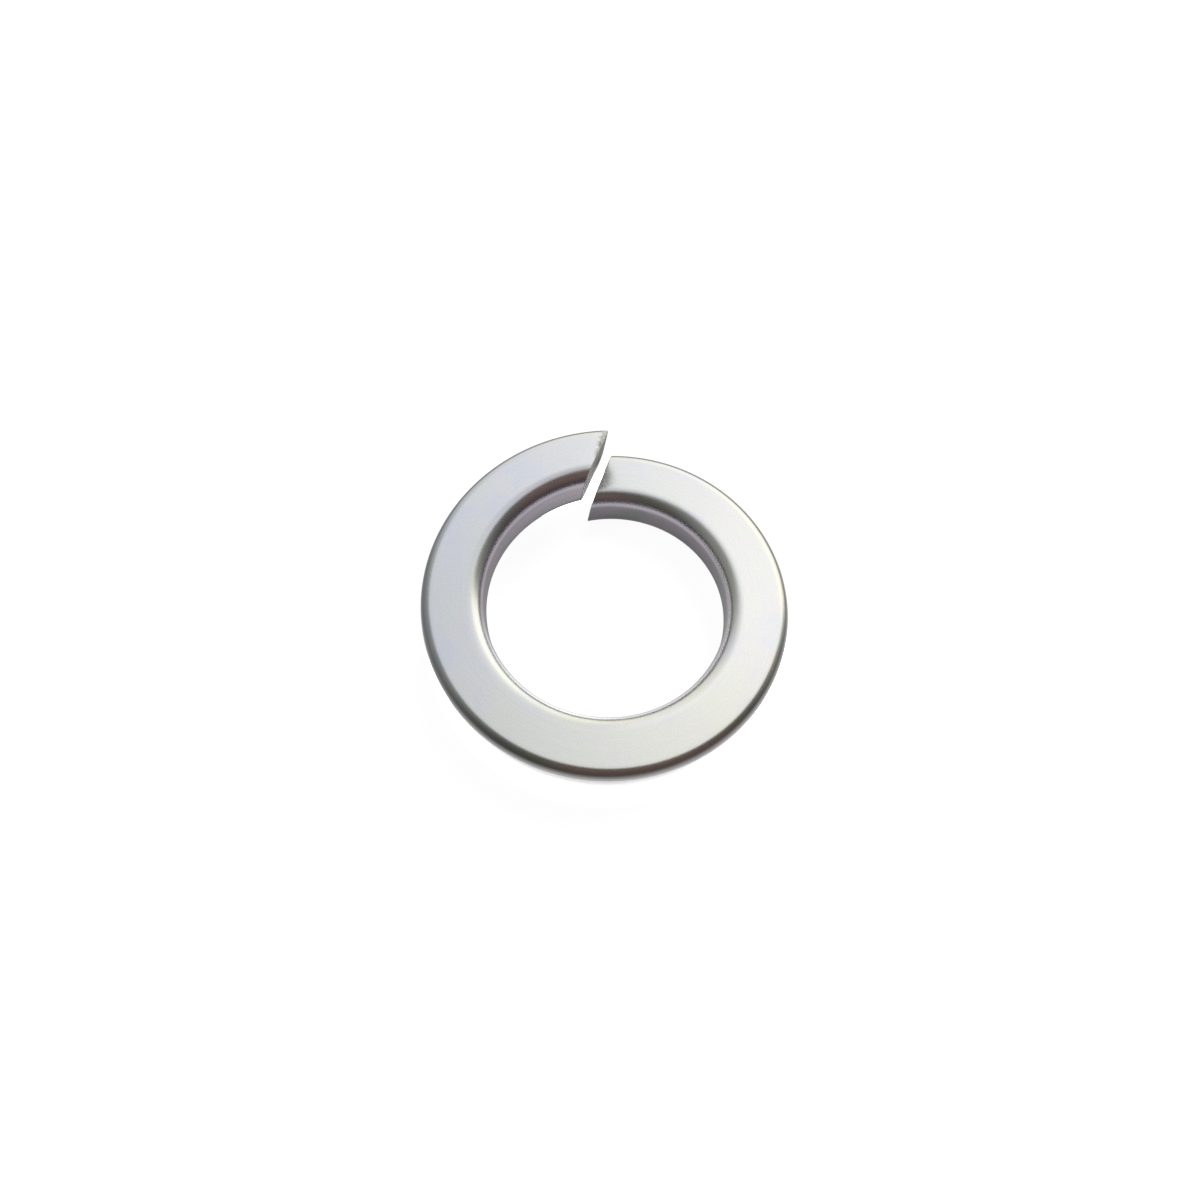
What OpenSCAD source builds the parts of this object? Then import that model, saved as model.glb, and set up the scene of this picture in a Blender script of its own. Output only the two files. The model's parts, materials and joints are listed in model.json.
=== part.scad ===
// Spring lock washer: one left-hand turn of rectangular spring wire, cut through
// on a slant so that one end stands proud of the other.
// Millimetres. The bore runs along Z and the low end's underside touches z = 0.
// The split is at +Y; seen from above, the turn climbs clockwise away from it.

/* [Bore] */
// Diameter of the hole that the bolt passes through
bore_d = 31.2; // [26:0.1:38]

/* [Wire section] */
// Width of the wire, from the bore to the outside
section_w = 7.8; // [7:0.1:10]
// Thickness of the wire
section_t = 6.9; // [5.6:0.1:8]
// Radius of the two corners at the bore
bore_corner = 2.1; // [0.8:0.1:2.5]
// Radius of the two corners at the outside
outer_corner = 1.4; // [0.6:0.1:2]

/* [Turn] */
// Height of the unloaded washer over its two ends
free_h = 13.1; // [12.5:0.1:16]

/* [Split] */
// Width of the split at the outside, square to the low end's face
gap_w = 1.2; // [0.8:0.05:2]
// How much wider the split is at the bore
gap_flare = 0.2; // [0:0.05:1]
// Turn of the cut away from a true radius, seen from above
cut_slant = 23; // [5:1:30]
// Lean of the cut away from upright
cut_lean = 8; // [0:1:12]
// Width that the blade rolled over at the high end's outer corner
roll_w = 0.9; // [0.3:0.1:1.5]
// Slope of the rolled-over strip below the top face
roll_slope = 38; // [25:1:55]

/* [Hidden] */
bore_r = bore_d / 2;
outer_r = bore_r + section_w;
mid_r = bore_r + section_w / 2;
mid_z = free_h / 2;
flat_in_r = bore_r + bore_corner;
flat_out_r = outer_r - outer_corner;

// angular steps of the turn, and of one rounded corner
turn_steps = 90;
corner_steps = 5;
// the swept wire stands this far proud of both walls before they are turned true
wall_over = 0.3;
// a corner's arc runs past its wall by this share of its radius, so that the wall
// crosses the last chord of the arc in its middle
arc_past_wall = (1 - cos(90 / corner_steps)) / 2;
round_fn = 180;
// the bore and the outside are turned over this height, past both ends of the turn
turned_h = free_h * 3;

// Angle, clockwise from +Y, where a plane parallel to the cut crosses radius r at
// height z. The plane is set off by off from the middle of the split.
function cut_phi(r, z, off) =
    cut_slant + asin((off / cos(cut_lean) - mid_r * sin(cut_slant) + (z - mid_z) * tan(cut_lean)) / r);

// Place of the two ends' faces at radius r, off the middle of the split
low_side = gap_w / 2;
function high_side(r) = -gap_w / 2 - gap_flare * (outer_r - r) / section_w;

// Width of the rolled edge at radius r, from nothing where the top face starts
function rolled(r) = roll_w * (r - flat_in_r) / (outer_r - flat_in_r);

// The turn's lowest point is on the low end's underside beside the bore corner, and
// its highest is on the high end's top face, where the rolled edge meets the outer corner.
phi_low = cut_phi(flat_in_r, 0, low_side);
phi_high = 360 + cut_phi(flat_out_r, free_h, high_side(flat_out_r) - rolled(flat_out_r));
rise_per_degree = (free_h - section_t) / (phi_high - phi_low);

// Wire section as [radius, height] points, clockwise from the top face's outer edge.
// Each corner's arc ends a little past its wall, and the overhang runs on from there.
function corner(r, z, rad, from) =
    [for (k = [0:corner_steps]) [r, z] + rad * [cos(from - 90 * k / corner_steps),
                                               sin(from - 90 * k / corner_steps)]];

outer_arc = outer_corner / (1 - arc_past_wall);
bore_arc = bore_corner / (1 - arc_past_wall);
outer_side = outer_r + outer_arc * arc_past_wall;
bore_side = bore_r - bore_arc * arc_past_wall;

section_points = concat(
    corner(outer_side - outer_arc, section_t - outer_arc, outer_arc, 90),
    [[outer_side + wall_over, section_t - outer_arc], [outer_side + wall_over, outer_arc]],
    corner(outer_side - outer_arc, outer_arc, outer_arc, 0),
    corner(bore_side + bore_arc, bore_arc, bore_arc, -90),
    [[bore_side - wall_over, bore_arc], [bore_side - wall_over, section_t - bore_arc]],
    corner(bore_side + bore_arc, section_t - bore_arc, bore_arc, 180)
);

// Angle of a section point at step i. Both raw ends lie in the middle of the split,
// and the blade then takes them back to their faces.
function step_phi(p, i) =
    let (low = cut_phi(p[0], p[1], 0))
    let (high = 360 + cut_phi(p[0], p[1] + free_h - section_t, 0))
    low + (high - low) * i / turn_steps;

function on_turn(p, phi) =
    [p[0] * sin(phi), p[0] * cos(phi), p[1] + rise_per_degree * (phi - phi_low)];

module swept_wire() {
    n = len(section_points);
    points = [for (i = [0:turn_steps]) for (p = section_points) on_turn(p, step_phi(p, i))];
    sides = [for (i = [0:turn_steps - 1]) for (k = [0:n - 1])
        let (a = i * n + k, b = i * n + (k + 1) % n)
        each [[a, b, b + n], [a, b + n, a + n]]];
    low_cap = [for (k = [n - 1:-1:0]) k];
    high_cap = [for (k = [0:n - 1]) turn_steps * n + k];
    polyhedron(points, concat(sides, [low_cap], [high_cap]), convexity = 4);
}

// Upright frame in the middle of the split: X across it, Y outwards along it.
module at_split() {
    translate([0, mid_r, mid_z]) rotate([0, 0, -cut_slant]) children();
}

// The slot runs half a wire's width past the bore and past the outside.
module blade_slot() {
    inner_y = -section_w;
    outer_y = section_w;
    at_split()
        rotate([0, cut_lean, 0])
            linear_extrude(turned_h, center = true)
                polygon([[low_side, inner_y], [low_side, outer_y],
                         [high_side(mid_r + outer_y), outer_y],
                         [high_side(mid_r + inner_y), inner_y]]);
}

// The blade went in through the high end's top face and rolled its edge over, from
// nothing at the bore corner to roll_w at the outside.
module rolled_edge() {
    lean_x = mid_z * tan(cut_lean);
    inner_x = lean_x + high_side(flat_in_r) / cos(cut_lean);
    outer_x = lean_x + high_side(outer_r) / cos(cut_lean) - roll_w;
    inner_y = (flat_in_r - mid_r) / cos(cut_slant);
    outer_y = (outer_r - mid_r) / cos(cut_slant);
    // the block lies on the strip and hangs over each side of it
    side_over = roll_w;
    end_over = section_w / 2;
    length = outer_y - inner_y;
    at_split()
        translate([inner_x, inner_y, mid_z])
            rotate([0, 0, atan((inner_x - outer_x) / length)])
                rotate([0, roll_slope, 0])
                    translate([-side_over, -end_over, 0])
                        cube([side_over + roll_w + side_over, end_over + length + end_over, section_t]);
}

module turned(r) {
    translate([0, 0, mid_z]) cylinder(h = turned_h, r = r, center = true, $fn = round_fn);
}

module washer() {
    color([0.80, 0.81, 0.82])
        difference() {
            intersection() {
                swept_wire();
                turned(outer_r);
            }
            turned(bore_r);
            blade_slot();
            rolled_edge();
        }
}

washer();
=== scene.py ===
"""The spring lock washer dressed as bright zinc plated steel, in the part's own frame.

The wire's turn is worked out again as one smooth mesh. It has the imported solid's form, with the
sheared ends' fine relief added. Lengths are in millimetres until they go into a mesh.
"""
import json
import math

import bpy
import numpy as np
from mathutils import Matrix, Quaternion, Vector, noise


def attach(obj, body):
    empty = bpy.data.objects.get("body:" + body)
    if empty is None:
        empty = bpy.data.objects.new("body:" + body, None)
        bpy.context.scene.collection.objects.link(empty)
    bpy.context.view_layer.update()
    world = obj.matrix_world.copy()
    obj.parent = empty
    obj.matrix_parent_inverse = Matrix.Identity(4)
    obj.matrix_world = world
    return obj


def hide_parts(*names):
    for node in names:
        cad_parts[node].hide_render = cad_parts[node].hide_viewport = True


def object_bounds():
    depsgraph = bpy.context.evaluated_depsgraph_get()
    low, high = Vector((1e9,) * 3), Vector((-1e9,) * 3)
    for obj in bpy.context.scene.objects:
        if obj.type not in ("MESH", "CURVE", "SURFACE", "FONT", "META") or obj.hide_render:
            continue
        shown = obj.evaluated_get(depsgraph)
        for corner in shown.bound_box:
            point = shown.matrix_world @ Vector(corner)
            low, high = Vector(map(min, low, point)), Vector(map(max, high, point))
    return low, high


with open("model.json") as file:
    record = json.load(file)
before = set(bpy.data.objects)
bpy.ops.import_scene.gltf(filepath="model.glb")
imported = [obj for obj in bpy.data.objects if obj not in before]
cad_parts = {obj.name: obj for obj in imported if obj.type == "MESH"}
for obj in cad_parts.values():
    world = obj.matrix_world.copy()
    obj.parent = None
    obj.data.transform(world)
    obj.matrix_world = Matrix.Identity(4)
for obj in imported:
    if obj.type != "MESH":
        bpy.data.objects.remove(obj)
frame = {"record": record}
cad_low, cad_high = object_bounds()

# Driving sizes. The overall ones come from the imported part, the others repeat the solid's own.
MM = 0.001
BORE_R = next(m for m in frame["record"]["mounts"] if m["name"] == "bore")["dims"]["r_mm"]
OUTER_R = (cad_high.x - cad_low.x) / 2 / MM
FREE_H = cad_high.z / MM
SECTION_W = OUTER_R - BORE_R
SECTION_T = 6.9
BORE_CORNER = 2.1
OUTER_CORNER = 1.4
GAP_W = 1.2
GAP_FLARE = 0.2
CUT_SLANT = math.radians(23)
CUT_LEAN = math.radians(8)
ROLL_W = 0.9
ROLL_SLOPE = math.radians(38)

MID_R = BORE_R + SECTION_W / 2
MID_Z = FREE_H / 2
FLAT_IN_R = BORE_R + BORE_CORNER
FLAT_OUT_R = OUTER_R - OUTER_CORNER

# Small forms that only the look needs: the rounding of the ends' edges, that of the high end's
# outer corner, the crease of the rolled strip and the line where its dull face fades out
EDGE_R = 0.10
TIP_R = 0.25
ROLL_SOFTNESS = 0.12
ROLL_FADE = 0.30

# Relief of the sheared ends. Frequencies are per millimetre, across the drag lines and down them.
SHEAR_RELIEF = 0.05
DRAG_ACROSS = 2.2
DRAG_DOWN = 0.35
# finer drag lines on top: how many times finer, and how strong
FINE_DRAG = 2.7
FINE_DRAG_SHARE = 0.5
TEAR_GRAIN = 1.7
# roughness, growth and number of the grain's octaves
TEAR_OCTAVES = (0.9, 2.1, 4)
# how much of the face is torn rather than dragged, and how far that varies from place to place
TORN = 0.35
TORN_SPREAD = 0.65
TORN_ACROSS = 0.4
TORN_DOWN = 0.9
TORN_SHIFT = 4
# the relief grows from nothing at a face's rim over this many rings
RELIEF_RINGS = 2

# Fineness of the mesh
CORNER_POINTS = 14
POINT_PITCH = 0.25
TURN_ROWS = 340
END_ROW_PITCH = 0.09
END_ROWS_REACH = 1.6
EDGE_ROWS = 5
FACE_RINGS = 13
# the rolled strip's lowering fades in over this share of the end rows
ROLL_START_SHARE = 0.25
# rounds in which the angle of a point behind an end's face is closed in on
ANGLE_ROUNDS = 12

# Camera, as fitted to the object's outline in the photograph
PICTURE_PX = 1200
OUTER_R_PX = 170.0
CAMERA_AZIMUTH = math.radians(-2.42)
CAMERA_ELEVATION = math.radians(67.59)
CAMERA_ROLL = math.radians(-2.05)
CAMERA_DISTANCE = 4.931 * OUTER_R
AIM_RIGHT = -0.0356 * OUTER_R
AIM_AWAY = 0.1564 * OUTER_R
SENSOR_WIDTH = 36
CLIP_START = 0.01
CLIP_END = 20


def rotation_z(angle):
    c, s = math.cos(angle), math.sin(angle)
    return np.array([[c, -s, 0], [s, c, 0], [0, 0, 1]])


def rotation_y(angle):
    c, s = math.cos(angle), math.sin(angle)
    return np.array([[c, 0, s], [0, 1, 0], [-s, 0, c]])


class Plane:
    """A flat cut, given in the split's own frame: X across it, Y outwards along it."""

    def __init__(self, turn, point, normal):
        at_split = rotation_z(-CUT_SLANT)
        self.normal = at_split @ turn @ (np.array(normal) / np.linalg.norm(normal))
        self.point = np.array([0, MID_R, MID_Z]) + at_split @ np.array(point)

    def height(self, points):
        return (points - self.point) @ self.normal


def high_side(radius):
    """Place of the high end's face at a radius, off the middle of the split."""
    return -GAP_W / 2 - GAP_FLARE * (OUTER_R - radius) / SECTION_W


def leaned(x):
    """A point across the split, turned with the cut's lean."""
    return rotation_y(CUT_LEAN) @ np.array([x, 0, 0])


def rolled_plane():
    """The strip that the blade rolled over, as the solid has it."""
    lean_x = MID_Z * math.tan(CUT_LEAN)
    inner_x = lean_x + high_side(FLAT_IN_R) / math.cos(CUT_LEAN)
    outer_x = lean_x + high_side(OUTER_R) / math.cos(CUT_LEAN) - ROLL_W
    inner_y = (FLAT_IN_R - MID_R) / math.cos(CUT_SLANT)
    outer_y = (OUTER_R - MID_R) / math.cos(CUT_SLANT)
    line = math.atan2(inner_x - outer_x, outer_y - inner_y)
    turn = rotation_z(line) @ rotation_y(ROLL_SLOPE)
    return Plane(turn, (inner_x, inner_y, MID_Z), (0, 0, 1))


LOW_FACE = Plane(rotation_y(CUT_LEAN), leaned(GAP_W / 2), (1, 0, 0))
HIGH_FACE = Plane(rotation_y(CUT_LEAN), leaned(high_side(MID_R)), (-1, GAP_FLARE / SECTION_W, 0))
ROLLED = rolled_plane()


def cut_phi(radius, height, off):
    """Angle, clockwise from +Y, where a plane parallel to the cut crosses a radius."""
    across = off / math.cos(CUT_LEAN) - MID_R * math.sin(CUT_SLANT)
    return CUT_SLANT + math.asin((across + (height - MID_Z) * math.tan(CUT_LEAN)) / radius)


ROLLED_AT_CORNER = ROLL_W * (FLAT_OUT_R - FLAT_IN_R) / (OUTER_R - FLAT_IN_R)
PHI_LOW = cut_phi(FLAT_IN_R, 0, GAP_W / 2)
PHI_HIGH = 2 * math.pi + cut_phi(FLAT_OUT_R, FREE_H, high_side(FLAT_OUT_R) - ROLLED_AT_CORNER)
RISE = (FREE_H - SECTION_T) / (PHI_HIGH - PHI_LOW)


def on_turn(radius, height, phi):
    """Points of the turn. The height is that within the wire's section."""
    return np.stack([radius * np.sin(phi), radius * np.cos(phi), height + RISE * (phi - PHI_LOW)], -1)


def phi_behind(face, radius, height, depth, start):
    """Angle at which each section point lies at a depth behind an end's face."""
    phi = np.full_like(radius, start)
    forward = 1 if face is LOW_FACE else -1
    for _ in range(ANGLE_ROUNDS):
        miss = face.height(on_turn(radius, height, phi)) - depth
        phi = phi - forward * miss / radius
    return phi


def outline():
    """The wire's section as radius, height and lean of the surface away from level."""
    def arc(centre_r, centre_z, rad, start):
        angles = np.radians(start - np.linspace(0, 90, CORNER_POINTS + 1))
        return centre_r + rad * np.cos(angles), centre_z + rad * np.sin(angles), np.sin(angles)

    arcs = [
        arc(FLAT_OUT_R, SECTION_T - OUTER_CORNER, OUTER_CORNER, 90),
        arc(FLAT_OUT_R, OUTER_CORNER, OUTER_CORNER, 0),
        arc(FLAT_IN_R, BORE_CORNER, BORE_CORNER, -90),
        arc(FLAT_IN_R, SECTION_T - BORE_CORNER, BORE_CORNER, 180),
    ]
    flats = [SECTION_T - 2 * OUTER_CORNER, FLAT_OUT_R - FLAT_IN_R]
    flats += [SECTION_T - 2 * BORE_CORNER, FLAT_OUT_R - FLAT_IN_R]
    columns = []
    for k, (r, z, up) in enumerate(arcs):
        after_r, after_z, after_up = (column[0] for column in arcs[(k + 1) % len(arcs)])
        steps = np.linspace(0, 1, max(2, round(flats[k] / POINT_PITCH)) + 1)[1:-1]
        columns.append((np.append(r, r[-1] + (after_r - r[-1]) * steps),
                        np.append(z, z[-1] + (after_z - z[-1]) * steps),
                        np.append(up, up[-1] + (after_up - up[-1]) * steps)))
    return (np.concatenate(part) for part in zip(*columns))


def roll_over(points):
    """Takes down what stands above the rolled strip, with a soft crease at its line."""
    above = ROLLED.height(points)
    down = (above + np.sqrt(above ** 2 + ROLL_SOFTNESS ** 2)) / 2
    near = np.clip(1 - np.abs(HIGH_FACE.height(points)) / END_ROWS_REACH, 0, 1)
    points[:, 2] -= np.where(near > 0, down / ROLLED.normal[2], 0) * np.minimum(1, near / ROLL_START_SHARE)
    return points


def end_rows(face, start):
    """Rows from behind an end up to its face, round its edge, then inwards over the face."""
    rows = []
    full_radius, full_height, up = outline()
    out = np.sqrt(np.maximum(0, 1 - up ** 2)) * np.where(full_radius > MID_R, 1, -1)
    edge = np.full_like(full_radius, EDGE_R)
    if face is HIGH_FACE:
        # the sharp corner between the end's face and the outside is blunted
        edge += (TIP_R - EDGE_R) * np.clip((full_radius - FLAT_OUT_R) / OUTER_CORNER, 0, 1)
    count = round((END_ROWS_REACH - EDGE_R) / END_ROW_PITCH)
    for share in np.linspace(0, 1, count + 1)[:-1]:
        rows.append((full_radius, full_height, END_ROWS_REACH + (edge - END_ROWS_REACH) * share))
    for angle in np.linspace(0, math.pi / 2, EDGE_ROWS + 1):
        inset, depth = edge * (1 - math.cos(angle)), edge * (1 - math.sin(angle))
        radius, height = full_radius - inset * out, full_height - inset * up
        rows.append((radius, height, depth))
    spine_r = np.clip(radius, BORE_R + SECTION_T / 2, OUTER_R - SECTION_T / 2)
    for share in np.linspace(0, 1, FACE_RINGS + 1)[1:]:
        rows.append((radius + (spine_r - radius) * share,
                     height + (SECTION_T / 2 - height) * share, np.zeros_like(radius)))
    made = []
    for radius, height, depth in rows:
        phi = phi_behind(face, radius, height, depth, start)
        made.append(on_turn(radius, height, phi))
    return made


def shear_relief(points, face, inward):
    """Drag lines where the blade sheared the wire, and a rough grain where it tore."""
    for k in range(len(points)):
        x, y, z = points[k]
        place = Vector((x * DRAG_ACROSS, y * DRAG_ACROSS, z * DRAG_DOWN))
        drag = noise.noise(place) + FINE_DRAG_SHARE * noise.noise(place * FINE_DRAG)
        rough = noise.fractal(Vector((x, y, z)) * TEAR_GRAIN, *TEAR_OCTAVES)
        place = Vector((x * TORN_ACROSS, y * TORN_ACROSS, z * TORN_DOWN + TORN_SHIFT))
        torn = TORN + TORN_SPREAD * noise.noise(place)
        lift = SHEAR_RELIEF * inward * ((1 - torn) * drag + torn * rough)
        points[k] = points[k] - face.normal * lift
    return points


def washer_mesh():
    """The whole turn as rows of section points, from the low end's face to the high end's."""
    radius, height, up = outline()
    n = len(radius)
    low, high = end_rows(LOW_FACE, 0.0), end_rows(HIGH_FACE, 2 * math.pi)
    shell_rows = len(low) - FACE_RINGS

    low_phi = phi_behind(LOW_FACE, radius, height, np.full(n, END_ROWS_REACH), 0.0)
    high_phi = phi_behind(HIGH_FACE, radius, height, np.full(n, END_ROWS_REACH), 2 * math.pi)
    middle = []
    for share in np.linspace(0, 1, TURN_ROWS + 1)[1:-1]:
        middle.append(on_turn(radius, height, low_phi + (high_phi - low_phi) * share))

    for k in range(FACE_RINGS):
        inward = min(1, (k + 1) / RELIEF_RINGS)
        low[shell_rows + k] = shear_relief(low[shell_rows + k], LOW_FACE, inward)
        high[shell_rows + k] = shear_relief(high[shell_rows + k], HIGH_FACE, inward)
    high = [roll_over(row) for row in high]

    rows = low[::-1] + middle + high
    points = np.concatenate(rows)
    faces = []
    for i in range(len(rows) - 1):
        for k in range(n):
            after = (k + 1) % n
            faces.append((i * n + k, (i + 1) * n + k, (i + 1) * n + after, i * n + after))

    mesh = bpy.data.meshes.new("spring_washer")
    mesh.from_pydata([tuple(p) for p in points * MM], [], faces)
    rolled = np.zeros(len(points))
    at_high_end = slice(-len(high) * n, None)
    rolled[at_high_end] = np.clip(1 + ROLLED.height(points[at_high_end]) / ROLL_FADE, 0, 1)
    add_wire_attributes(mesh, points, np.tile(up, len(rows)), rolled, len(low), len(high))
    mesh.validate()
    return mesh


def add_wire_attributes(mesh, points, up, rolled, low_rows, high_rows):
    """Place along and across the wire, and how far each point is wall or sheared face."""
    phi = np.arctan2(points[:, 0], points[:, 1])
    n = len(points) // (low_rows + high_rows + TURN_ROWS - 1)
    phi = np.unwrap(phi.reshape(-1, n), axis=0).ravel()
    radius = np.hypot(points[:, 0], points[:, 1])
    height = points[:, 2] - RISE * (phi - PHI_LOW)
    wire = np.stack([MID_R * phi, radius, height], -1)
    row = np.repeat(np.arange(len(points) // n), n)
    last = row.max()
    sheared = np.maximum((row < FACE_RINGS) | (row > last - FACE_RINGS), rolled)
    wall = 1 - np.abs(up)
    for name, kind, values in (("wire", "FLOAT_VECTOR", wire), ("wall", "FLOAT", wall),
                               ("sheared", "FLOAT", sheared)):
        layer = mesh.attributes.new(name, kind, "POINT")
        layer.data.foreach_set("vector" if kind == "FLOAT_VECTOR" else "value", values.ravel())


class Nodes:
    """Short calls that add nodes to one tree and link them."""

    # sockets of a Mix node that hold its factor, its two colours and its result
    MIX_FACTOR, MIX_FIRST, MIX_SECOND, MIX_RESULT = 0, 6, 7, 2

    def __init__(self, tree):
        self.tree = tree
        tree.nodes.clear()

    def add(self, kind, inputs=None, **settings):
        node = self.tree.nodes.new(kind)
        for key, value in settings.items():
            setattr(node, key, value)
        for key, value in (inputs or {}).items():
            self.set(node.inputs[key], value)
        return node

    def set(self, socket, value):
        if isinstance(value, bpy.types.NodeSocket):
            self.tree.links.new(value, socket)
        else:
            socket.default_value = value

    def math(self, operation, *values):
        node = self.add("ShaderNodeMath", operation=operation)
        for socket, value in zip(node.inputs, values):
            self.set(socket, value)
        return node.outputs[0]

    def vector(self, operation, *values):
        node = self.add("ShaderNodeVectorMath", operation=operation)
        for socket, value in zip(node.inputs, values):
            self.set(socket, value)
        return node.outputs["Value" if operation in ("DOT_PRODUCT", "LENGTH") else "Vector"]

    def spread(self, value, low, high, to_low=0.0, to_high=1.0):
        node = self.add("ShaderNodeMapRange", interpolation_type="SMOOTHSTEP")
        for socket, item in zip(node.inputs, (value, low, high, to_low, to_high)):
            self.set(socket, item)
        return node.outputs[0]

    def mix(self, factor, first, second, blend="MIX"):
        node = self.add("ShaderNodeMix", data_type="RGBA", blend_type=blend)
        self.set(node.inputs[self.MIX_FACTOR], factor)
        self.set(node.inputs[self.MIX_FIRST], first)
        self.set(node.inputs[self.MIX_SECOND], second)
        return node.outputs[self.MIX_RESULT]

    def parts(self, vector):
        return self.add("ShaderNodeSeparateXYZ", {"Vector": vector}).outputs

    def grey(self, value):
        return self.add("ShaderNodeCombineXYZ", {"X": value, "Y": value, "Z": value}).outputs[0]

    def ramp(self, factor, stops, smooth=True):
        node = self.add("ShaderNodeValToRGB", {"Fac": factor})
        node.color_ramp.interpolation = "EASE" if smooth else "LINEAR"
        elements = node.color_ramp.elements
        while len(elements) > 1:
            elements.remove(elements[-1])
        elements[0].position, elements[0].color = stops[0][0], (*stops[0][1], 1)
        for position, colour in stops[1:]:
            elements.new(position).color = (*colour, 1)
        return node.outputs["Color"]

    def noise(self, place, scale, detail, roughness):
        node = self.add("ShaderNodeTexNoise", {"Vector": place, "Scale": scale, "Detail": detail,
                                               "Roughness": roughness})
        return node.outputs["Fac"]


def new_material(name):
    material = bpy.data.materials.new(name)
    material.use_nodes = True
    return material, Nodes(material.node_tree)


# Zinc finish. A noise is given by its scale, detail and roughness, a line or a side by where it
# starts and ends, and what a noise drives by its least and greatest value.
BLACK = (0, 0, 0, 1)
WHITE = (1, 1, 1, 1)
NOISE_SPAN = (0.3, 0.7)

# Level faces: faint colour patches, bluer on the left, yellower on the near side
PATCH_TURN = (0.5, 0.7, 0.4)
PATCH_NOISE = (0.11, 3.0, 0.6)
PATCH_TINTS = [
    (0.30, (0.80, 0.85, 0.85)), (0.42, (0.82, 0.83, 0.87)), (0.50, (0.85, 0.85, 0.85)),
    (0.58, (0.84, 0.86, 0.83)), (0.70, (0.86, 0.84, 0.86)),
]
LEFT_CAST = (0.935, 0.95, 1.0, 1)
RIGHT_CAST = (1.0, 0.99, 0.985, 1)
NEAR_CAST = (1.0, 1.0, 0.945, 1)
NEAR_SIDE = (-0.25 * OUTER_R, -0.75 * OUTER_R)

# Painted shade: darker lines along the bore's corner, on the left only, and along the outside's corner, in
# place of dark reflections there
BORE_LINE_R = FLAT_IN_R - 0.5
BORE_LINE = (0.05, 0.7)
BORE_LINE_SIDE = (0.35, 0.75)
BORE_LINE_PAINTED_SHADE = 0.20
OUTER_LINE_R = OUTER_R - 0.3
OUTER_LINE = (0.1, 0.8)
OUTER_LINE_PAINTED_SHADE = 0.32

# Walls, by how far the surface leans from level: where they begin and where they are full, each
# first in general and then on the near left, where the walls' painted shade starts later and the bore's
# corner keeps its highlight for longer
NEAR_LEFT = (0.5, 1.0)
WALL_FROM = (0.18, 0.36)
WALL_FULL = (0.60, 0.74)
WALL_STRETCH = (0.10, 0.5, 0.5)
WALL_NOISE = (1.0, 2.0, 0.5)
# painted shade: the bore's tints are dark, standing in for the shadowed floor in the hole as the wall
# mirrors it, with a faint purple tint
BORE_SHADE_TINTS = [(0.35, (0.24, 0.245, 0.25)), (0.5, (0.30, 0.265, 0.295)), (0.65, (0.26, 0.245, 0.285))]
OUTSIDE_TINTS = [(0.35, (0.78, 0.74, 0.76)), (0.65, (0.84, 0.82, 0.82))]
# half the width of the change from the bore's tint to the outside's, in the middle of the wire
TINT_CHANGE = 1

# Sheared faces: mottled grey steel, with painted shade that makes them darker where they stand upright
SHEARED_NOISE = (1.6, 4.0, 0.65)
SHEARED_TINTS = [(0.34, (0.21, 0.22, 0.20)), (0.5, (0.36, 0.37, 0.34)), (0.66, (0.52, 0.53, 0.49))]
SHEARED_UPWARD = (0.2, 0.6)
SHEARED_UPRIGHT_SHADE = (0.42, 0.12)
SHEARED_ROUGHENS = 0.16
SHEARED_LESS_METAL = 0.5

# Brushing along the wire and an even grain: how they shade, roughen and raise the surface
STREAK_STRETCH = (0.06, 4.5, 4.5)
STREAK_NOISE = (1.0, 4.0, 0.65)
STREAK_SHADE = (-0.035, 0.02)
STREAK_ROUGHNESS = (0.21, 0.29)
STREAK_RELIEF = 0.6
FINE_STRETCH = (0.5, 14.0, 14.0)
FINE_NOISE = (1.0, 2.0, 0.6)
FINE_ROUGHNESS = (-0.02, 0.03)
FINE_RELIEF = 0.25
GRAIN_NOISE = (5.0, 3.0, 0.6)
GRAIN_SHADE = (-0.02, 0.02)
GRAIN_RELIEF = 0.25
MEAN_RELIEF = 0.55
# the relief is weaker where the surface leans more than this
CALM_FROM = 0.10
CALM_RELIEF = 0.3
BUMP_STRENGTH = 0.28
BUMP_HEIGHT = 0.012


def level_colour(n, place, radius):
    """The top face and the underside, with lines of painted shade along both corners."""
    turned = n.add("ShaderNodeMapping", {"Vector": place, "Rotation": PATCH_TURN}).outputs[0]
    tint = n.ramp(n.noise(turned, *PATCH_NOISE), PATCH_TINTS, smooth=False)
    parts = n.parts(place)
    to_right = n.spread(parts["X"], -OUTER_R, OUTER_R)
    tint = n.mix(1.0, tint, n.mix(to_right, LEFT_CAST, RIGHT_CAST), "MULTIPLY")
    near = n.spread(parts["Y"], *NEAR_SIDE)
    tint = n.mix(near, tint, n.mix(1.0, tint, NEAR_CAST, "MULTIPLY"))

    off_line = n.math("ABSOLUTE", n.math("SUBTRACT", radius, BORE_LINE_R))
    on_left = n.spread(to_right, *BORE_LINE_SIDE, BORE_LINE_PAINTED_SHADE, 0)
    bore_shade_line = n.math("MULTIPLY", n.spread(off_line, *BORE_LINE, 1, 0), on_left)
    off_line = n.math("ABSOLUTE", n.math("SUBTRACT", radius, OUTER_LINE_R))
    outer_shade_line = n.spread(off_line, *OUTER_LINE, OUTER_LINE_PAINTED_SHADE, 0)
    return n.mix(n.math("ADD", bore_shade_line, outer_shade_line), tint, BLACK)


def wall_share(n, place, wall):
    """How far the surface counts as wall, by its lean."""
    near_left = n.vector("DOT_PRODUCT", place, (-1 / OUTER_R, -1 / OUTER_R, 0))
    near_left = n.spread(near_left, *NEAR_LEFT)
    return n.spread(wall, n.spread(near_left, 0, 1, *WALL_FROM), n.spread(near_left, 0, 1, *WALL_FULL))


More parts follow.
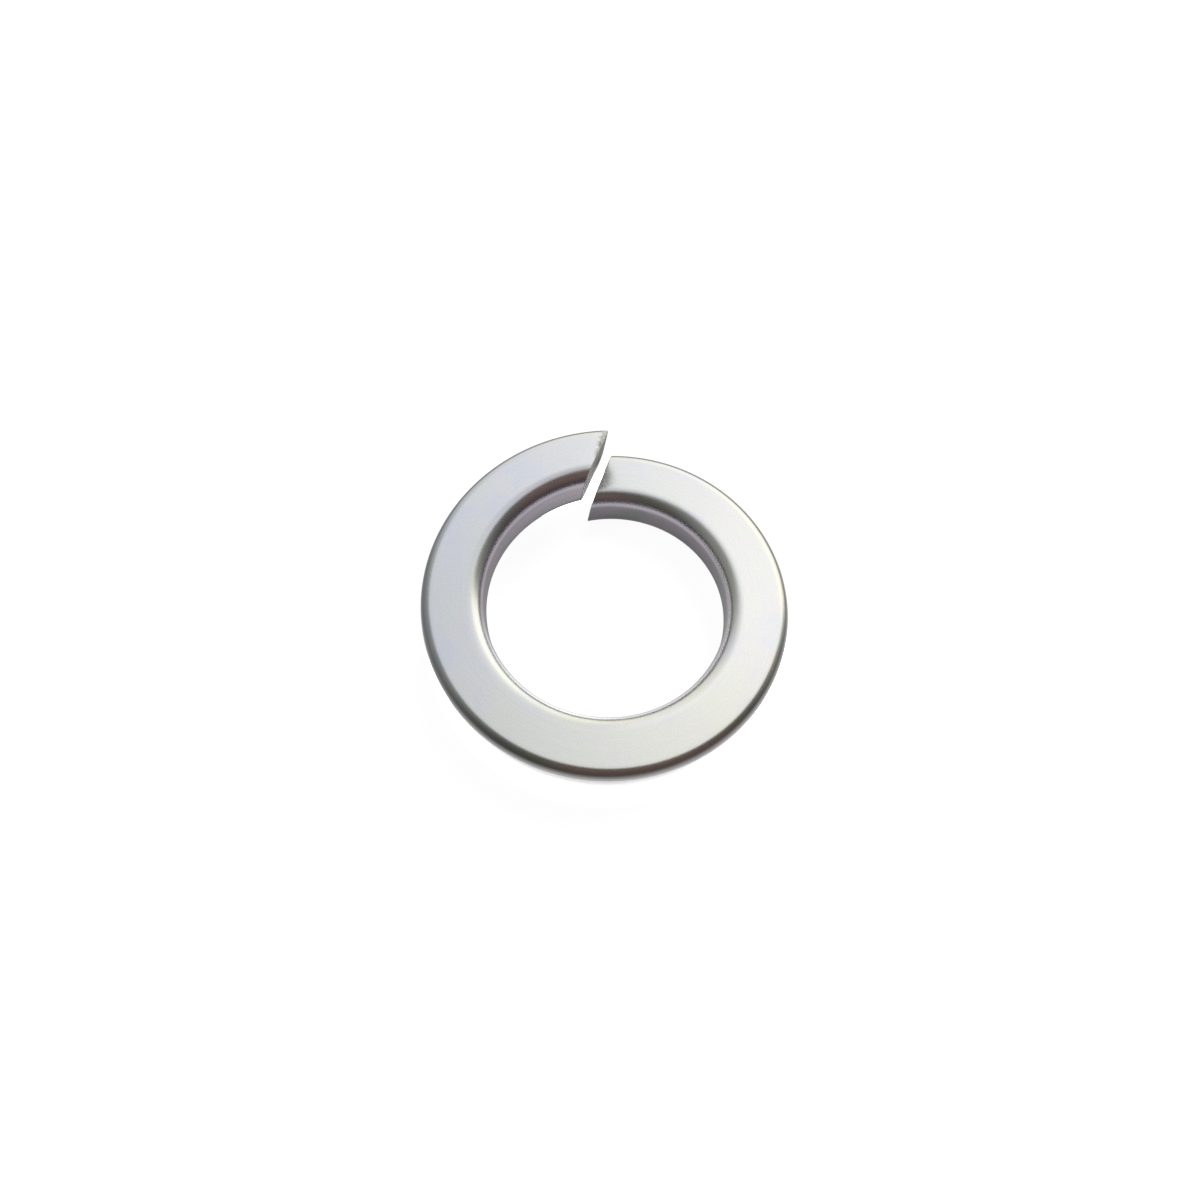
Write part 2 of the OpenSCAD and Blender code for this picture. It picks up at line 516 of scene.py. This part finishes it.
def wall_colour(n, wire, radius):
    """The bore's wall, faintly purple and darkened by painted shade, and the brighter outside."""
    patches = n.noise(n.vector("MULTIPLY", wire, WALL_STRETCH), *WALL_NOISE)
    outside = n.spread(radius, MID_R - TINT_CHANGE, MID_R + TINT_CHANGE)
    return n.mix(outside, n.ramp(patches, BORE_SHADE_TINTS), n.ramp(patches, OUTSIDE_TINTS))


def sheared_colour(n, place):
    """The ends' faces and the rolled strip, where the zinc is thin, with painted shade where they stand
    upright.
    """
    tint = n.ramp(n.noise(place, *SHEARED_NOISE), SHEARED_TINTS)
    upward = n.parts(n.add("ShaderNodeNewGeometry").outputs["Normal"])["Z"]
    return n.mix(n.spread(upward, *SHEARED_UPWARD, *SHEARED_UPRIGHT_SHADE), tint, BLACK)


def zinc_material():
    """Bright zinc on steel: faint colour patches, brushing along the wire, painted shade on the walls and
    along the corners.
    """
    material, n = new_material("bright_zinc")
    wire = n.add("ShaderNodeAttribute", attribute_name="wire").outputs["Vector"]
    wall = n.add("ShaderNodeAttribute", attribute_name="wall").outputs["Fac"]
    sheared = n.add("ShaderNodeAttribute", attribute_name="sheared").outputs["Fac"]
    radius = n.parts(wire)["Y"]
    place = n.vector("SCALE", n.add("ShaderNodeTexCoord").outputs["Object"])
    place.node.inputs["Scale"].default_value = 1 / MM

    streaks = n.noise(n.vector("MULTIPLY", wire, STREAK_STRETCH), *STREAK_NOISE)
    fine = n.noise(n.vector("MULTIPLY", wire, FINE_STRETCH), *FINE_NOISE)
    grain = n.noise(place, *GRAIN_NOISE)

    colour = n.mix(wall_share(n, place, wall), level_colour(n, place, radius), wall_colour(n, wire, radius))
    colour = n.mix(sheared, colour, sheared_colour(n, place))
    shade = n.math("ADD", n.spread(streaks, *NOISE_SPAN, *STREAK_SHADE),
                   n.spread(grain, *NOISE_SPAN, *GRAIN_SHADE))
    colour = n.vector("MULTIPLY", colour, n.grey(n.math("ADD", shade, 1.0)))

    rough = n.math("ADD", n.spread(streaks, *NOISE_SPAN, *STREAK_ROUGHNESS),
                   n.spread(fine, *NOISE_SPAN, *FINE_ROUGHNESS))
    rough = n.math("ADD", rough, n.math("MULTIPLY", sheared, SHEARED_ROUGHENS))

    relief = n.math("ADD", n.math("MULTIPLY", streaks, STREAK_RELIEF),
                    n.math("MULTIPLY", fine, FINE_RELIEF))
    relief = n.math("ADD", relief, n.math("MULTIPLY", grain, GRAIN_RELIEF))
    relief = n.math("MULTIPLY", n.math("SUBTRACT", relief, MEAN_RELIEF),
                    n.spread(wall, 0, CALM_FROM, 1, CALM_RELIEF))
    bump = n.add("ShaderNodeBump", {"Strength": BUMP_STRENGTH, "Distance": BUMP_HEIGHT * MM,
                                    "Height": relief})

    metal = n.math("SUBTRACT", 1.0, n.math("MULTIPLY", sheared, SHEARED_LESS_METAL))
    shader = n.add("ShaderNodeBsdfPrincipled", {"Base Color": colour, "Metallic": metal,
                                                "Roughness": rough, "Normal": bump.outputs[0]})
    output = n.add("ShaderNodeOutputMaterial")
    n.set(output.inputs["Surface"], shader.outputs[0])
    return material


def seen_directly(n):
    """1 for rays from the camera, and for those that metal or glass sends on."""
    path = n.add("ShaderNodeLightPath")
    seen = n.math("MAXIMUM", path.outputs["Is Camera Ray"], path.outputs["Is Glossy Ray"])
    return n.math("MAXIMUM", seen, path.outputs["Is Transmission Ray"])


FLOOR_COLOUR = (0.93, 0.93, 0.93, 1)
FLOOR_GLOW = 0.92
# Painted light and shade on the floor, as only the metal's reflections see it: its glow near the axis and
# at the bore's foot, where the dimmer value is a painted shadow, then at the outside's foot and a table's
# width away, with a brighter painted rim close to the foot
GLOW_CORE_R = 0.3 * BORE_R * MM
BORE_GLOW_AND_SHADOW = (1.55, 0.36)
GLOW_OUTSIDE = (0.46, 0.18)
GLOW_REACH = 30 * MM
FOOT_GLOW = 2.7
FOOT_GLOW_FROM = 0.2 * MM
FOOT_GLOW_TO = 2.0 * MM
FLOOR_REACH = 4.0
FLOOR_DROP = 0.02 * MM


def add_floor():
    """The pale ground. It takes the washer's shadow, and the metal mirrors it with painted light and shade:
    a painted shadow at the bore's foot and a bright painted rim at the outside's foot.
    """
    mesh = bpy.data.meshes.new("floor")
    square = ((-1, -1), (1, -1), (1, 1), (-1, 1))
    corners = [(x * FLOOR_REACH, y * FLOOR_REACH, -FLOOR_DROP) for x, y in square]
    mesh.from_pydata(corners, [], [(0, 1, 2, 3)])
    floor = bpy.data.objects.new("floor", mesh)
    bpy.context.scene.collection.objects.link(floor)
    material, n = new_material("pale_floor")
    diffuse = n.add("ShaderNodeBsdfDiffuse", {"Color": FLOOR_COLOUR})
    from_axis = n.vector("LENGTH", n.add("ShaderNodeTexCoord").outputs["Object"])
    inside = n.spread(from_axis, GLOW_CORE_R, BORE_R * MM, *BORE_GLOW_AND_SHADOW)
    from_foot = n.math("SUBTRACT", from_axis, OUTER_R * MM)
    outside = n.math("ADD", n.spread(from_foot, 0, GLOW_REACH, *GLOW_OUTSIDE),
                     n.spread(from_foot, FOOT_GLOW_FROM, FOOT_GLOW_TO, FOOT_GLOW, 0))
    beyond = n.math("GREATER_THAN", from_axis, MID_R * MM)
    mirrored = n.math("ADD", inside, n.math("MULTIPLY", beyond, n.math("SUBTRACT", outside, inside)))
    path = n.add("ShaderNodeLightPath").outputs
    glow = n.math("MAXIMUM", path["Is Camera Ray"], mirrored)
    white = n.add("ShaderNodeEmission", {"Color": WHITE, "Strength": glow})
    mix = n.add("ShaderNodeMixShader")
    n.set(mix.inputs[0], n.math("MULTIPLY", seen_directly(n), FLOOR_GLOW))
    n.set(mix.inputs[1], diffuse.outputs[0])
    n.set(mix.inputs[2], white.outputs[0])
    n.set(n.add("ShaderNodeOutputMaterial").inputs["Surface"], mix.outputs[0])
    mesh.materials.append(material)


WORLD_LIGHT = 0.62


def set_world():
    """White for what sees it directly, and a softer light for everything else."""
    world = bpy.data.worlds.new("studio")
    bpy.context.scene.world = world
    world.use_nodes = True
    n = Nodes(world.node_tree)
    strength = n.spread(seen_directly(n), 0, 1, WORLD_LIGHT, 1.0)
    background = n.add("ShaderNodeBackground", {"Color": WHITE, "Strength": strength})
    n.set(n.add("ShaderNodeOutputWorld").inputs["Surface"], background.outputs[0])


# The studio that the metal mirrors, by direction from the washer. Azimuths run from +X over +Y.
# A bright tent stands behind and to the right, the room in front of it is dark, and the
# ceiling is a soft grey.
RING = [
    (0, (0.175, 0.175, 0.155)), (12, (0.23, 0.23, 0.20)), (18, (0.60, 0.58, 0.49)),
    (24, (1.38, 1.33, 1.15)), (45, (1.36, 1.32, 1.17)), (70, (1.22, 1.20, 1.10)),
    (90, (1.02, 1.00, 0.90)), (105, (0.88, 0.875, 0.83)), (122, (0.66, 0.67, 0.66)),
    (136, (0.40, 0.41, 0.40)), (150, (0.27, 0.27, 0.26)), (168, (0.24, 0.24, 0.225)),
    (188, (0.19, 0.19, 0.175)), (207, (0.115, 0.115, 0.10)), (225, (0.085, 0.086, 0.074)),
    (238, (0.085, 0.086, 0.074)), (256, (0.135, 0.094, 0.086)), (318, (0.135, 0.094, 0.086)),
    (338, (0.09, 0.09, 0.078)), (360, (0.175, 0.175, 0.155)),
]
CEILING_LEFT = (0.735, 0.75, 0.775, 1)
CEILING_RIGHT = (1.04, 1.035, 1.03, 1)
CEILING_SPAN = 0.30
CEILING_LEAN = math.radians(19)
CEILING_ASIDE = math.radians(9)
# the ceiling is darker over the near side, by how far a direction points to +Y
CEILING_NEAR = 0.90
CEILING_FAR = 1.11
CEILING_REACH = (0.15, 0.50)
CEILING_FROM = math.radians(32)
CEILING_FULL = math.radians(22)
SURROUND_R = 1.5
SURROUND_RINGS = 12
SURROUND_SIDES = 48


def add_surround():
    """A tent that only reflections see, painted with the studio's bright and dark sides."""
    mesh = bpy.data.meshes.new("surround")
    points, faces = [], []
    for i in range(SURROUND_RINGS + 1):
        elevation = math.pi / 2 * i / SURROUND_RINGS
        for k in range(SURROUND_SIDES):
            azimuth = 2 * math.pi * k / SURROUND_SIDES
            points.append((SURROUND_R * math.cos(elevation) * math.cos(azimuth),
                           SURROUND_R * math.cos(elevation) * math.sin(azimuth),
                           SURROUND_R * math.sin(elevation)))
    for i in range(SURROUND_RINGS):
        below, above = i * SURROUND_SIDES, (i + 1) * SURROUND_SIDES
        for k in range(SURROUND_SIDES):
            after = (k + 1) % SURROUND_SIDES
            faces.append((below + k, below + after, above + after, above + k))
    mesh.from_pydata(points, [], faces)
    surround = bpy.data.objects.new("surround", mesh)
    bpy.context.scene.collection.objects.link(surround)
    surround.visible_camera = surround.visible_diffuse = False
    surround.visible_shadow = surround.visible_transmission = False

    material, n = new_material("studio_tent")
    way = n.vector("NORMALIZE", n.add("ShaderNodeTexCoord").outputs["Object"])
    parts = n.parts(way)
    angle = n.math("ARCTAN2", parts["Y"], parts["X"])
    turn = n.math("FRACT", n.math("ADD", n.math("DIVIDE", angle, 2 * math.pi), 1.0))
    ring = n.ramp(turn, [(azimuth / 360, colour) for azimuth, colour in RING])
    lean, aside = math.sin(CEILING_LEAN), math.sin(CEILING_ASIDE)
    axis = (aside, lean, math.sqrt(1 - lean ** 2 - aside ** 2))
    towards = n.vector("DOT_PRODUCT", way, axis)
    overhead = n.spread(towards, math.cos(CEILING_FROM), math.cos(CEILING_FULL))
    ceiling = n.mix(n.spread(parts["X"], -CEILING_SPAN, CEILING_SPAN), CEILING_LEFT, CEILING_RIGHT)
    depth = n.spread(parts["Y"], *CEILING_REACH, CEILING_NEAR, CEILING_FAR)
    ceiling = n.vector("SCALE", ceiling)
    n.set(ceiling.node.inputs["Scale"], depth)
    colour = n.mix(overhead, ring, ceiling)
    glow = n.add("ShaderNodeEmission", {"Color": colour, "Strength": 1.0})
    n.set(n.add("ShaderNodeOutputMaterial").inputs["Surface"], glow.outputs[0])
    mesh.materials.append(material)


def add_lamp(name, azimuth, elevation, distance, size, watts):
    """A soft round lamp, turned towards the washer and not mirrored by it."""
    data = bpy.data.lights.new(name, "AREA")
    data.shape, data.size, data.energy = "DISK", size, watts
    lamp = bpy.data.objects.new(name, data)
    bpy.context.scene.collection.objects.link(lamp)
    a, e = math.radians(azimuth), math.radians(elevation)
    way = Vector((math.cos(e) * math.cos(a), math.cos(e) * math.sin(a), math.sin(e)))
    lamp.location = way * distance
    lamp.rotation_mode = "QUATERNION"
    lamp.rotation_quaternion = way.to_track_quat("Z", "Y")
    lamp.visible_glossy = False


def add_camera():
    """The photograph's own camera: near, high up and slightly rolled."""
    data = bpy.data.cameras.new("camera")
    camera = bpy.data.objects.new("camera", data)
    bpy.context.scene.collection.objects.link(camera)
    focal_px = OUTER_R_PX * CAMERA_DISTANCE / OUTER_R
    data.sensor_width = SENSOR_WIDTH
    data.lens = data.sensor_width * focal_px / PICTURE_PX
    a, e = CAMERA_AZIMUTH, CAMERA_ELEVATION
    back = Vector((math.sin(a) * math.cos(e), -math.cos(a) * math.cos(e), math.sin(e)))
    aim = Vector((math.cos(a) * AIM_RIGHT - math.sin(a) * AIM_AWAY,
                  math.sin(a) * AIM_RIGHT + math.cos(a) * AIM_AWAY, 0))
    camera.location = back * CAMERA_DISTANCE * MM
    camera.rotation_mode = "QUATERNION"
    level = (camera.location - aim * MM).to_track_quat("Z", "Y")
    camera.rotation_quaternion = level @ Quaternion((0, 0, 1), CAMERA_ROLL)
    data.clip_start, data.clip_end = CLIP_START, CLIP_END
    bpy.context.scene.camera = camera


washer = bpy.data.objects.new("spring_washer", washer_mesh())
bpy.context.scene.collection.objects.link(washer)
washer.data.materials.append(zinc_material())
washer.data.shade_smooth()
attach(washer, "root")
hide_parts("washer")

add_floor()
set_world()
add_surround()
add_lamp("key", azimuth=50, elevation=50, distance=1.0, size=0.7, watts=12)
add_lamp("fill", azimuth=200, elevation=60, distance=1.1, size=0.8, watts=5)
add_camera()
bpy.context.scene.view_settings.view_transform = "Standard"
